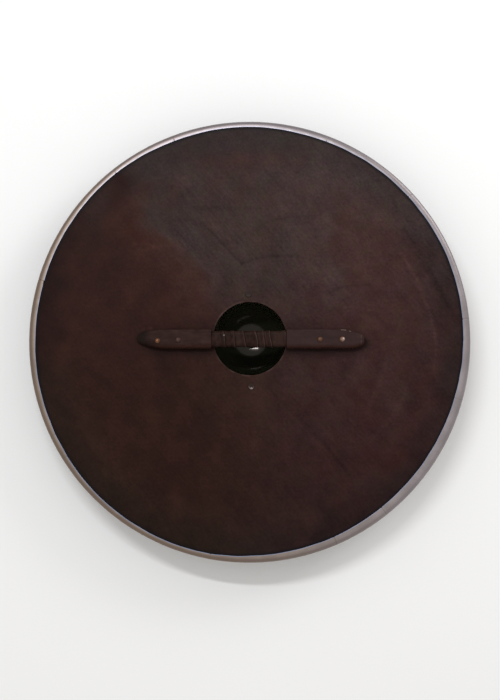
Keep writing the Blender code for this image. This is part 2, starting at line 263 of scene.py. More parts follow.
class Wire:
    """A shader socket that carries a number, written in sums: each operator adds one Math node."""

    def __init__(self, finish, socket):
        self.finish = finish
        self.socket = socket

    def maths(self, operation, first, second=0.0, clamp=False):
        """One Math node of two numbers or wires."""
        settings = {"operation": operation, "use_clamp": clamp}
        return self.finish.node("ShaderNodeMath", settings, {0: first, 1: second})

    def __add__(self, other):
        return self.maths("ADD", self, other)

    def __sub__(self, other):
        return self.maths("SUBTRACT", self, other)

    def __rsub__(self, other):
        return self.maths("SUBTRACT", other, self)

    def __mul__(self, other):
        return self.maths("MULTIPLY", self, other)

    __radd__ = __add__
    __rmul__ = __mul__

    def held(self):
        """The number, kept between 0 and 1."""
        return self.maths("ADD", self, 0.0, clamp=True)

    def folded(self, length):
        """The number, folded back and forth between 0 and this length."""
        return self.maths("PINGPONG", self, length)

    def rise(self, low, high):
        """0 below low, 1 above high, and an S curve between them."""
        return self.finish.node("ShaderNodeMapRange", {"interpolation_type": "SMOOTHSTEP"},
                                {0: self, 1: low, 2: high, 3: 0.0, 4: 1.0})


class Finish:
    """A material in the making: a Principled shader, its plain values and the nodes that vary it."""

    def __init__(self, name, plain):
        self.material = bpy.data.materials.new(name)
        self.material.use_nodes = True
        self.tree = self.material.node_tree
        self.shader = self.tree.nodes["Principled BSDF"]
        self.give(self.shader, plain)

    def give(self, node, sockets):
        """Put a value or a wire into each socket; a colour is three numbers."""
        for key, value in sockets.items():
            socket = node.inputs[key]
            if isinstance(value, Wire):
                self.tree.links.new(value.socket, socket)
            else:
                socket.default_value = (*value, 1.0) if socket.type == "RGBA" else value

    def node(self, kind, settings, sockets, output=0):
        """Add a node: its settings first, then the value or the wire of each socket."""
        made = self.tree.nodes.new(kind)
        for key, value in settings.items():
            setattr(made, key, value)
        self.give(made, sockets)
        return Wire(self, made.outputs[output])

    def kept(self, name):
        """A number kept at the points of the mesh."""
        return self.node("ShaderNodeAttribute", {"attribute_name": name}, {}, output=2)

    def place(self):
        """The place on the piece, in metres."""
        return self.node("ShaderNodeTexCoord", {}, {}, output=3)

    def height(self):
        """Z of that place."""
        return self.node("ShaderNodeSeparateXYZ", {}, {0: self.place()}, output=2)

    def noise(self, size, heading=0.0, detail=3.0, roughness=0.55, twist=0.0):
        """Soft noise, 0 to 1, whose features have this size along the heading, across it and in Z."""
        scale = size if isinstance(size, tuple) else (size, size, size)
        place = self.node("ShaderNodeMapping", {"vector_type": "TEXTURE"},
                          {"Vector": self.place(), "Scale": scale,
                           "Rotation": (0.0, 0.0, math.radians(heading))})
        return self.node("ShaderNodeTexNoise", {}, {"Vector": place, "Scale": 1.0, "Detail": detail,
                                                    "Roughness": roughness, "Distortion": twist})

    def mix(self, amount, first, second, blend="MIX"):
        """From the first colour to the second, by the amount."""
        settings = {"data_type": "RGBA", "blend_type": blend, "clamp_factor": True}
        return self.node("ShaderNodeMix", settings, {0: amount, 6: first, 7: second}, output=2)

    def layered(self, colour, *layers):
        """A colour with layers laid over it, each an amount and its own colour."""
        for amount, paint in layers:
            colour = self.mix(amount, colour, paint)
        return colour

    def done(self, colour, roughness, height=None):
        """The material with this colour and roughness, and with fine bumps from a height in metres."""
        self.give(self.shader, {"Base Color": colour, "Roughness": roughness})
        if height:
            bump = self.node("ShaderNodeBump", {}, {"Strength": 1.0, "Distance": 1.0, "Height": height})
            self.give(self.shader, {"Normal": bump})
        return self.material


def varied(middle, *parts):
    """A value made uneven: the middle, plus each noise's swing about 0.5 times its amount."""
    for noise, amount in parts:
        middle = middle + (noise - 0.5) * amount
    return middle


BRUSH_HEADING = -47.0       # the stain was brushed along the veneer's grain, at this turn from +X


def stained_board():
    """Red-brown stain brushed over plywood: patches, brush hairs, a thin grey film, wear, and painted
    light: sheen in the grey film, a highlight on the hole's lip and shade beside the rim.

    The colour is the stain's depth times its hue, plus the grey film's depth times grey; that film is
    partly real and partly painted sheen. The wall of the hole shows the plies, and a narrow band beside
    the rim is darker: painted shade where the rim meets the board.
    """
    finish = Finish("stained_board", {"Specular IOR Level": 0.06})
    patch = finish.noise(0.055, twist=0.4)
    mottle = finish.noise((0.018, 0.014, 0.03), heading=BRUSH_HEADING, twist=0.5)
    speck = finish.noise(0.0045, detail=2.0, roughness=0.7)
    hairs = finish.noise((0.080, 0.0036, 0.02), heading=BRUSH_HEADING, twist=0.3)
    cross_hairs = finish.noise((0.090, 0.0060, 0.02), heading=-66.0, twist=0.6)
    level_hairs = finish.noise((0.060, 0.0050, 0.02), heading=4.0, twist=0.7)
    fibres = finish.noise((0.030, 0.0009, 0.004), heading=BRUSH_HEADING, detail=2.0)
    fleck = finish.noise(0.0105, roughness=0.65)
    red, film_and_sheen, warm, bare, wall, streaky, olive, from_rim = map(
        finish.kept, ("red", "film_and_sheen", "warm", "bare", "wall", "streaky", "olive", "from_rim"))

    none = (0.0, 0.0, 0.0)
    warmth = varied(warm, (patch, 1.5), (fleck, 2.6)).held()
    hue = finish.mix(warmth, (0.060, 0.0160, 0.0142), (0.060, 0.0196, 0.0132))
    depth = varied(1.0, (patch, 0.60), (mottle, 0.45), (speck, 0.65), (hairs, 0.22), (level_hairs, 0.25),
                   (fibres, 0.18))
    stain = finish.mix((red * depth).held(), none, hue)
    # The grey layer, tinted greenish and olive in places: partly a real film and partly painted sheen.
    cloudy = varied(1.0, (mottle, 0.75), (cross_hairs, 0.40), (level_hairs, 0.30),
                    (hairs, 0.60 + streaky * 0.8), (speck, 1.00), (patch, 0.55))
    greenish = varied(0.5, (patch, 0.8), (mottle, 0.5), (fleck, 2.5)).held()
    tint = finish.layered((0.0436, 0.0358, 0.0440), (greenish, (0.0369, 0.0437, 0.0345)),
                          (olive, (0.0420, 0.0430, 0.0280)))
    haze = finish.mix((film_and_sheen * cloudy).held(), none, tint)
    colour = finish.mix(1.0, stain, haze, blend="ADD")
    thickness = (BACK_Z - FRONT_Z) / PLIES
    ply = ((finish.height() - FRONT_Z).folded(thickness) * (1 / thickness)).rise(0.42, 0.58)
    core = finish.mix(ply, (0.020, 0.0085, 0.0060), (0.036, 0.0180, 0.0125))
    # Painted shade: a dark band on the board next to the rim's inner edge.
    painted_rim_shade = (0.0058 - from_rim).rise(0.0, 0.0046)
    colour = finish.layered(colour, (wall, core), (bare * (0.25 + hairs), (0.105, 0.062, 0.056)),
                            (painted_rim_shade * 0.72, (0.0072, 0.0058, 0.0072)))
    roughness = varied(0.50, (mottle, 0.16), (hairs, 0.12)) + bare * 0.15
    return finish.done(colour, roughness, hairs * 0.00010 + fibres * 0.00006 + cross_hairs * 0.00008
                       + mottle * 0.00010 + ply * wall * 0.00010)


def rim_steel():
    """Satin steel strip: dull spots, darker crimps, and painted light: a darker nose that is painted
    shade, a cool bright inner edge that is a painted highlight, and a tan tint on one side that is a
    painted warm reflection.
    """
    finish = Finish("rim_steel", {"Metallic": 1.0})
    cloud = finish.noise(0.030, detail=4.0)
    speck = finish.noise(0.0022)
    rub = finish.noise((0.010, 0.0012, 0.010), heading=20.0)
    crimp, nose, tan, from_lip, edge_highlight = map(finish.kept, ("crimp", "nose", "tan", "from_lip", "edge_highlight"))
    cloudy = cloud.rise(0.35, 0.70)
    plain = finish.mix(cloudy, (0.318, 0.282, 0.286), (0.395, 0.352, 0.358))
    # Painted warm reflection: a tan tint, strongest round 205°.
    tanned = finish.mix(cloudy, (0.285, 0.225, 0.185), (0.345, 0.273, 0.224))
    # Painted shade: the darker colour of the nose, warmer where the tan reflection is painted.
    shaded = finish.mix(tan, (0.222, 0.196, 0.206), (0.200, 0.145, 0.114))
    # Painted highlight: a cool line along the inner edge, brightest round 112°.
    cool = (0.0016 - from_lip).rise(0.0, 0.0012)
    edge = finish.mix(edge_highlight, (0.22, 0.27, 0.42), (0.62, 0.62, 0.76))
    colour = finish.layered(
        plain, (tan, tanned), (nose * 0.80, shaded), (speck.rise(0.60, 0.75) * 0.5, (0.25, 0.22, 0.20)),
        (cool * 0.75, edge), (crimp * 0.38, (0.16, 0.14, 0.13)))
    roughness = varied(0.45, (cloud, 0.16), (rub, 0.10)) + crimp * 0.1
    return finish.done(colour, roughness, rub * 0.00003 + speck * 0.00003 + cloud * 0.00012)


def black_enamel():
    """Gloss black enamel over pressed steel, with specks of dust; its hollow is painted lighter towards
    +Y, which is painted fill light.
    """
    finish = Finish("black_enamel", {"IOR": 1.365, "Specular Tint": (1.0, 0.87, 0.81)})
    peel = finish.noise(0.0035, detail=2.0)
    dust = finish.noise(0.0016, detail=2.0)
    colour = finish.layered((0.0082, 0.0086, 0.0050), (finish.kept("painted_fill_light"), (0.0160, 0.0160, 0.0090)),
                            (dust.rise(0.62, 0.74) * 0.25, (0.022, 0.021, 0.017)))
    return finish.done(colour, 0.115 + dust.rise(0.5, 0.8) * 0.06, peel * 0.000006)


def stained_bar():
    """Dark greyish brown stain on a carved bar: grain along it, redder low on its sides, darker at the
    pointed end, with painted shade on the nose's -Y side, and paler in a few places."""
    finish = Finish("stained_bar", {"Specular IOR Level": 0.07})
    grain = finish.noise((0.060, 0.0016, 0.0040), detail=4.0, twist=0.25)
    pores = finish.noise((0.0120, 0.00045, 0.0010), detail=2.0)
    cloud = finish.noise((0.018, 0.010, 0.012))
    pale_marks, low, end, right = map(finish.kept, ("pale_marks", "low", "end", "right"))
    depth = (grain * 0.8 + cloud * 1.3 - 0.55).held()
    pale = (pale_marks * (0.35 + grain * 1.3)).rise(0.35, 0.62)
    colour = finish.layered(
        (0.0120, 0.0053, 0.0044), (depth, (0.0450, 0.0210, 0.0168)),
        (right * 0.45, (0.0370, 0.0220, 0.0225)), (low * 0.80, (0.0360, 0.0125, 0.0085)),
        (end * 0.85, (0.0080, 0.0052, 0.0036)), (pale, (0.125, 0.088, 0.076)))
    roughness = varied(0.52, (grain, 0.25)) + pores * 0.05
    return finish.done(colour, roughness, grain * 0.00012 + pores * 0.00005)


def wound_leather():
    """Red-brown leather strip: grain and creases, edges rubbed lighter, and painted shade where one turn
    steps down to the next.
    """
    finish = Finish("wound_leather", {"Specular IOR Level": 0.07})
    grain = finish.noise(0.0011)
    creases = finish.noise((0.0012, 0.006, 0.006), twist=0.5)
    cloud = finish.noise((0.004, 0.010, 0.010), heading=-8.0)
    edge, crease = map(finish.kept, ("edge", "crease"))
    colour = finish.layered(
        (0.0100, 0.0042, 0.0028), ((cloud * 2.4 - 0.7).held(), (0.0300, 0.0120, 0.0082)),
        ((creases - 0.45).held() * 1.6, (0.0060, 0.0038, 0.0026)),
        (edge * (0.45 + creases * 0.8), (0.080, 0.047, 0.037)),
        # Painted shade just past each step down between turns.
        (crease * 0.85, (0.0040, 0.0024, 0.0018)))
    roughness = varied(0.50, (cloud, 0.2)) + crease * 0.3 - edge * 0.06
    return finish.done(colour, roughness, grain * 0.00005 + creases * 0.00007)


def aged_copper(name, bright, tarnish, rough):
    """Hammered copper: bright metal where the mesh marks it (raised and worn, and on the bar's rivets
    a painted highlight too), brown and greenish tarnish towards its edge.
    """
    finish = Finish(name, {"Metallic": 1.0})
    cloud = finish.noise(0.0028)
    pits = finish.noise(0.0008, detail=2.0)
    clean = varied(finish.kept("bright_metal") * 1.5 - 0.55, (cloud, 1.2)).held()
    colour = finish.mix(clean, tarnish, bright)
    return finish.done(colour, rough + (1 - clean) * 0.20, cloud * 0.00010 + pits * 0.00003)


def rivet_steel(name, bright, stain, rough):
    """Steel rivet: stain covers it, except where the mesh marks it bright: rubbed down to the metal,
    and on the tails partly a painted highlight.
    """
    finish = Finish(name, {"Specular IOR Level": 0.07})
    cloud = finish.noise(0.0035)
    clean = varied(finish.kept("bright_metal") * 1.6 - 0.5, (cloud, 1.3)).held()
    colour = finish.mix(clean, stain, bright)
    finish.give(finish.shader, {"Metallic": clean * 0.85})
    return finish.done(colour, rough + (1 - clean) * 0.22, cloud * 0.00012)


def floor_paper():
    """Plain pale paper."""
    finish = Finish("floor_paper", {"Specular IOR Level": 0.1})
    shade = finish.noise(0.8, detail=2.0)
    return finish.done(finish.mix(shade, (0.92, 0.92, 0.915), (0.94, 0.94, 0.935)), 0.9)


# ---------------------------------------------------------------- board

# Marks of the brush and of use on the back: start, middle and end, half width, and the share by
# which stain and film are deeper (below 0) or paler (above 0) there
MARKS = (
    ((-0.094, 0.227), (-0.036, 0.231), (0.019, 0.228), 0.0032, -0.26),
    ((-0.082, 0.202), (-0.048, 0.171), (-0.013, 0.134), 0.0034, -0.30),
    ((-0.068, 0.206), (-0.036, 0.178), (-0.004, 0.145), 0.0032, 0.24),
    ((-0.013, 0.133), (0.021, 0.147), (0.073, 0.147), 0.0032, -0.27),
    ((0.073, 0.147), (0.107, 0.146), (0.125, 0.122), 0.0034, -0.17),
    ((0.016, 0.191), (0.044, 0.217), (0.108, 0.214), 0.0036, -0.17),
    ((0.044, 0.191), (0.030, 0.160), (0.067, 0.104), 0.0040, -0.17),
    ((0.136, 0.080), (0.156, 0.096), (0.207, 0.096), 0.0034, -0.26),
    ((0.139, 0.076), (0.150, 0.056), (0.227, 0.051), 0.0034, 0.18),
    ((0.262, 0.150), (0.308, 0.078), (0.319, 0.007), 0.0032, 0.58),
    ((0.319, 0.007), (0.325, -0.016), (0.312, -0.060), 0.0026, 0.22),
    ((0.266, 0.192), (0.309, 0.135), (0.342, 0.058), 0.0034, -0.42),
    ((0.285, 0.152), (0.312, 0.115), (0.332, 0.066), 0.0026, -0.26),
    ((0.082, -0.128), (0.126, -0.170), (0.172, -0.230), 0.0034, -0.19),
    ((0.100, -0.156), (0.130, -0.194), (0.152, -0.236), 0.0030, 0.20),
    ((0.124, -0.170), (0.149, -0.199), (0.178, -0.244), 0.0030, -0.17),
    ((0.021, -0.119), (0.056, -0.165), (0.101, -0.227), 0.0045, 0.07),
    ((0.198, -0.125), (0.223, -0.079), (0.235, -0.040), 0.0035, 0.20),
    ((0.209, -0.170), (0.246, -0.136), (0.268, -0.090), 0.0030, 0.16),
    ((-0.214, 0.090), (-0.196, 0.082), (-0.206, 0.066), 0.0060, 0.20),
    ((-0.230, 0.066), (-0.226, 0.060), (-0.220, 0.058), 0.0050, 0.16),
    ((-0.199, 0.168), (-0.198, 0.168), (-0.196, 0.167), 0.0024, 0.62),
    ((-0.187, 0.169), (-0.176, 0.169), (-0.163, 0.163), 0.0024, 0.44),
    ((-0.189, 0.158), (-0.170, 0.158), (-0.152, 0.164), 0.0024, 0.34),
    ((-0.127, 0.285), (-0.119, 0.274), (-0.111, 0.283), 0.0028, 0.24),
    ((-0.108, 0.281), (-0.104, 0.277), (-0.101, 0.270), 0.0028, 0.28),
    ((-0.158, 0.098), (-0.154, 0.093), (-0.150, 0.086), 0.0120, -0.18),
    ((-0.250, 0.118), (-0.243, 0.111), (-0.238, 0.100), 0.0200, -0.16),
    ((-0.184, 0.0190), (-0.176, 0.0211), (-0.1675, 0.0221), 0.0018, 0.75),
    ((-0.150, -0.040), (-0.130, -0.048), (-0.110, -0.043), 0.0150, -0.18),
    ((-0.110, -0.085), (-0.090, -0.110), (-0.080, -0.140), 0.0150, -0.14),
)


def along_marks(x, y):
    """Sum of the marks at each point: each is a bell across a curved stroke, x and y being quadratic in
    the way along it. Low random waves make all of them fade in and out."""
    way = np.linspace(0, 1, 28)
    weights = np.stack([(1 - way) ** 2, 2 * way * (1 - way), way ** 2], -1)
    total = np.zeros_like(x)
    for *stroke, width, amount in MARKS:
        near = np.ones_like(x)
        for place in weights @ np.array(stroke):
            near = np.minimum(near, np.hypot(x - place[0], y - place[1]))
        total += amount * bell(near, width)
    return total * (0.80 + 0.22 * waves(x, y, 17, 0.006, 0.030))


def left_of_film(x, y):
    """Distance in X from the brushed left edge of the film, positive inside it: a line through a few
    places, made ragged by short and long random waves."""
    edge = np.interp(y, (0.020, 0.078, 0.121, 0.147, 0.173, 0.183, 0.198, 0.230, 0.273, 0.320),
                     (-0.050, -0.063, -0.080, -0.103, -0.124, -0.150, -0.172, -0.179, -0.181, -0.215))
    short = 0.0045 * waves(x + y, (x - y) * 0.1, 6, 0.008, 0.04)
    return x - edge - short - 0.003 * waves(y, x * 0.2, 10, 0.04, 0.12) + 0.004


# Film and stain are counted in units of 1/1100 of albedo; the film's counts hold painted sheen as
# well as the real film. Soft patches where they are thicker (above 0) or thinner: middle, sizes
# along X and Y, and the amount
UNIT = 1 / 1100
FULL_FILM_AND_SHEEN, FULL_STAIN = 0.040, 0.060    # albedo where the value that the finish reads is 1
FILM_AND_SHEEN_PATCHES = (
    ((0.070, 0.165), (0.030, 0.075), 3.5), ((0.100, 0.290), (0.100, 0.030), 5.0),
    ((0.335, 0.140), (0.030, 0.050), 4.0), ((-0.020, 0.310), (0.100, 0.016), -4.0),
    ((-0.080, 0.165), (0.050, 0.030), 2.5), ((0.010, 0.185), (0.060, 0.050), 1.6),
    ((0.080, 0.118), (0.030, 0.030), -4.0), ((-0.262, 0.235), (0.040, 0.045), 4.0),
    ((-0.200, 0.214), (0.028, 0.030), -4.5), ((-0.100, 0.085), (0.040, 0.040), 1.2),
    ((0.170, 0.140), (0.040, 0.050), 1.5), ((-0.200, 0.262), (0.030, 0.025), -3.0),
    ((-0.134, 0.162), (0.030, 0.028), 3.0), ((-0.105, 0.192), (0.025, 0.022), 2.0),
    ((-0.072, 0.132), (0.024, 0.030), 2.0),
)
RED_PATCHES = (
    ((0.200, 0.115), (0.085, 0.120), 10.5), ((0.200, -0.100), (0.120, 0.140), 4.0),
    ((0.010, 0.240), (0.090, 0.080), 4.0), ((0.167, 0.076), (0.030, 0.030), -4.0),
    ((-0.020, 0.315), (0.080, 0.014), 9.0), ((0.080, -0.270), (0.120, 0.060), -2.0),
    ((-0.100, 0.080), (0.045, 0.040), 3.0), ((0.095, -0.060), (0.060, 0.022), -3.5),
    ((0.120, -0.150), (0.030, 0.030), -4.5), ((0.100, -0.238), (0.050, 0.030), -2.0),
    ((0.212, -0.058), (0.028, 0.022), -2.5), ((-0.295, -0.015), (0.050, 0.030), -2.5),
    ((-0.170, -0.070), (0.050, 0.040), 1.5), ((-0.130, -0.300), (0.050, 0.040), 3.0),
    ((0.300, -0.150), (0.030, 0.040), 3.0), ((-0.200, 0.190), (0.060, 0.050), -1.5),
    ((-0.196, 0.138), (0.030, 0.030), 3.5), ((-0.150, 0.085), (0.040, 0.030), 2.0),
)


def patches(x, y, table):
    """Sum of the soft patches of a table: each is its amount at its middle, and falls away as a bell
    curve over its two sizes."""
    return sum(amount * bell(np.hypot((x - middle[0]) / sizes[0], (y - middle[1]) / sizes[1]), 1.0)
               for middle, sizes, amount in table)


def board_film_and_sheen(x, y, inward):
    """Depth of the thin grey film on the back, in albedo, inward being the distance from left_of_film.
    The value is partly a real film and partly painted sheen.

    It rises slowly to the right, which is painted sheen. It is full over the upper middle, between the
    brushed edge on the left and a bare wedge on the right, and there is a thin band near the rim at
    the lower left.
    """
    soft = 0.019 + 0.016 * smooth(0.17, 0.27, y)
    inside = smooth(-soft, soft, inward + 0.2 * soft) * smooth(0.020, 0.110, y)
    wedge_left = np.interp(y, (0.04, 0.087, 0.150, 0.225), (0.195, 0.180, 0.130, 0.150))
    wedge = smooth(-0.012, 0.012, x - wedge_left - 0.006 * waves(x * 0.3, y, 7, 0.03, 0.12))
    wedge = wedge * smooth(0.225, 0.190, y + 0.35 * (x - 0.20))
    lower_left = smooth(0.27, 0.34, np.hypot(x, y)) * smooth(0.0, -0.08, y) * smooth(0.10, -0.05, x)
    # Painted sheen: a slow rise to the right and upwards.
    film_and_sheen = 1.6 + 6.8 * smooth(-0.14, 0.10, x) * (0.50 + 0.50 * smooth(-0.25, 0.0, y))
    film_and_sheen = film_and_sheen + inside * (15.3 - film_and_sheen + 3.0 * smooth(0.02, 0.12, x) - 7.0 * wedge) + 2.6 * lower_left
    film_and_sheen = film_and_sheen + 1.3 * bell(inward + 0.022, 0.024) * smooth(0.05, 0.10, y) + patches(x, y, FILM_AND_SHEEN_PATCHES)
    film_and_sheen = film_and_sheen + 1.3 * waves(x, y, 3, 0.03, 0.14) * smooth(-0.2, 0.1, x + y)
    return np.maximum(film_and_sheen, 0.0) * UNIT


def board_red(x, y, inward):
    """Depth of the red-brown stain on the back, in albedo, inward being the distance from left_of_film.

    It is deepest just outside the film's left edge and in the patches, and thinner inside that edge,
    towards the lower left and in a broad band towards the rim. It is also less in a narrow band along
    the rim, which is painted shade.
    """
    reach = np.hypot(x, y)
    beside = bell(inward + 0.030, 0.045) * smooth(0.018, -0.020, inward)
    beside = beside * smooth(0.02, 0.10, y) * smooth(0.29, 0.22, y)
    under = smooth(0.0, 0.03, inward) * smooth(0.10, 0.04, x) * smooth(0.03, 0.10, y)
    lower_left = smooth(0.0, -0.12, y) * smooth(0.12, -0.12, x)
    red = 27.5 + 8.5 * beside - 4.5 * under - 3.0 * lower_left + patches(x, y, RED_PATCHES)
    # Less red towards -Y: the board is darker towards its lower edge.
    red = red - 3.0 * smooth(-0.16, -0.32, y) - 1.5 * smooth(0.02, -0.10, y)
    red = red * (1 - 0.36 * smooth(0.305, 0.352, reach + 0.004 * waves(x, y, 9, 0.04, 0.12)))
    # Painted shade in a narrow band along the rim's inner edge.
    red = red * (1 - 0.35 * bell(reach - LIP_RADIUS + 0.001, 0.004)) + 1.5 * waves(x, y, 4, 0.03, 0.12)
    return np.maximum(red, 8.0) * UNIT


def lip_line(turn):
    """Radius of the rim's inner edge at each turn: its lap wavers in slow waves and in small ones."""
    waver = 0.00022 * ring_waves(turn, 15, 4, 12) + 0.00012 * ring_waves(turn, 16, 20, 70)
    for number, (along_x, along_y) in enumerate(RIM_WAVER, start=1):
        waver = waver + along_x * np.cos(number * turn) + along_y * np.sin(number * turn)
    return LIP_RADIUS + waver


def dishes(x, y, kind, width):
    """Depth of the bell-shaped dishes round the four rivets of a kind."""
    middles = [round_node(f"{kind}_{number}")[0] for number in range(1, 5)]
    return sum(DISH_DEPTH * bell(np.hypot(x - middle[0], y - middle[1]), width) for middle in middles)


def board_outline():
    """Radii and heights of the board's outline, and which rows lie on its back, front and hole wall.

    It runs out across the back, round the edge as a squared ellipse, in across the front and up the
    wall of the hole. The hole's two lips are quarter rounds.
    """
    lip, edge = 0.0011, 0.0082
    edge_start = BOARD_RADIUS - edge
    out, level = squared_round(9, 0.8)
    swing = np.linspace(0, math.pi / 2, 4)
    radius, height, part = outline(
        arc(lip, math.pi - swing, HOLE_RADIUS + lip, BACK_Z - lip),
        (np.linspace(HOLE_RADIUS + 2 * lip, 0.0975, 17), BACK_Z),
        (np.linspace(0.1000, edge_start, 104), BACK_Z),
        (edge_start + edge * out[1:-1], (FRONT_Z + BACK_Z) / 2 + (BACK_Z - FRONT_Z) / 2 * level[1:-1]),
        (np.linspace(edge_start, HOLE_RADIUS + 0.003, 12), FRONT_Z),
        arc(lip, -math.pi / 2 - swing, HOLE_RADIUS + lip, FRONT_Z + lip),
        (HOLE_RADIUS, np.linspace(FRONT_Z + lip, BACK_Z - lip, 7)[1:-1]))
    on_front = (part > 3) & (height < FRONT_Z + 1e-6)
    return radius, height, part < 3, on_front, radius < HOLE_RADIUS + 0.0006


def build_board():
    """Round plywood board: the outline carried round, its middle sliding from the board's to the
    hole's as the rows near the hole.

    The back is its height less a shallow random hollow, which fades out at the hole and the rim, and
    less a dish round each boss rivet. Round the bar its colour is darker, most on the bar's -Y side:
    painted shade and shadow of the bar.
    """
    radius, height, on_back, on_front, on_wall = board_outline()
    turn, radius = ring(BOARD_PLACES), radius[:, None]
    slide = 1 - smooth(0.080, 0.240, radius)
    x = HOLE_MIDDLE[0] * slide + radius * np.cos(turn)
    y = HOLE_MIDDLE[1] * slide + radius * np.sin(turn)
    reach = np.hypot(x, y)
    hollow = 0.00007 * (2.2 + waves(x, y, 1, 0.07, 0.25)) + 0.00002 * waves(x, y, 2, 0.014, 0.04)
    hollow = hollow * smooth(HOLE_RADIUS + 0.004, HOLE_RADIUS + 0.018, radius) * smooth(0.365, 0.345, reach)
    drop = np.maximum(hollow, 0.0) + dishes(x, y, "boss_rivet", 0.0085)
    side = np.where(on_back, -1.0, np.where(on_front, 0.6, 0.0))[:, None]
    points = np.stack([x, y, height[:, None] + side * drop], -1)

    back = on_back[:, None] * 1.0
    upper, lower = bar_shape(np.clip(x, BAR_LOW[0] + 0.0002, BAR_HIGH[0] - 0.0002))[:2]
    above_bar = y > BAR_MIDDLE_Y
    from_bar = np.hypot(np.maximum(np.maximum(BAR_LOW[0] - x, x - BAR_HIGH[0]), 0.0),
                        np.maximum(np.abs(y - BAR_MIDDLE_Y) - np.where(above_bar, upper, lower), 0.0))
    # Painted shade round the bar, and a painted shadow on its -Y side.
    below = smooth(0.004, -0.004, y - BAR_MIDDLE_Y) * smooth(0.006, 0.034, x - BAR_LOW[0])
    depth = 1 + along_marks(x, y) * back
    depth = depth * (1 - (0.15 + 0.43 * below) * bell(from_bar, 0.0035 + 0.0080 * below) * back)
    # Paler wood on the hole's lip: wear in random stretches, and a painted highlight round its upper left
    # (the bell at 2.25 radians).
    worn_and_lit_lip = 0.55 * smooth(-0.5, 1.4, ring_waves(turn, 5, 3, 26)) + 0.8 * bell(turn - 2.25, 0.45)
    inward = left_of_film(x, y)
    warm_patch = ((0.05, 0.18), (0.15, 0.12), 0.35)
    brushed = (((-0.075, 0.185), (0.075, 0.065), 1.0), ((-0.05, 0.26), (0.06, 0.04), 0.8))
    # The grey film's value holds painted sheen as well as the real film.
    values = {"film_and_sheen": np.where(back, board_film_and_sheen(x, y, inward), 0.003) * depth / FULL_FILM_AND_SHEEN,
              "red": np.where(back, board_red(x, y, inward), 0.024) * depth / FULL_STAIN,
              "warm": 0.85 - 0.75 * smooth(-0.15, 0.25, x) + patches(x, y, [warm_patch]),
              "bare": 0.9 * worn_and_lit_lip * bell(radius - HOLE_RADIUS - 0.0005, 0.0013),
              "streaky": patches(x, y, brushed),
              "olive": smooth(0.02, -0.08, y) * smooth(0.10, -0.08, x),
              "from_rim": np.where(back, np.clip(lip_line(turn) - reach, -0.01, 0.02), 0.02),
              "wall": on_wall[:, None] * 1.0}
    add_piece("board", stained_board(), points, values, ends="joined")


# ---------------------------------------------------------------- rim

def rim_turns():
    """Angles round the strip from one end to the other, in radians, closer together at each crimp."""
    gap = JOINT_GAP / RIM_RADIUS
    start = math.radians(JOINT_TURN) + gap / 2
    even = np.linspace(start, start + math.tau - gap, RIM_PLACES)
    close = [start + (math.radians(turn) - start) % math.tau + np.linspace(-0.012, 0.012, 25)
             for turn in CRIMP_TURNS]
    ends = [np.linspace(start, start + 0.016, 16), np.linspace(even[-1] - 0.016, even[-1], 16)]
    return np.unique(np.round(np.concatenate([even, *close, *ends]), 6))


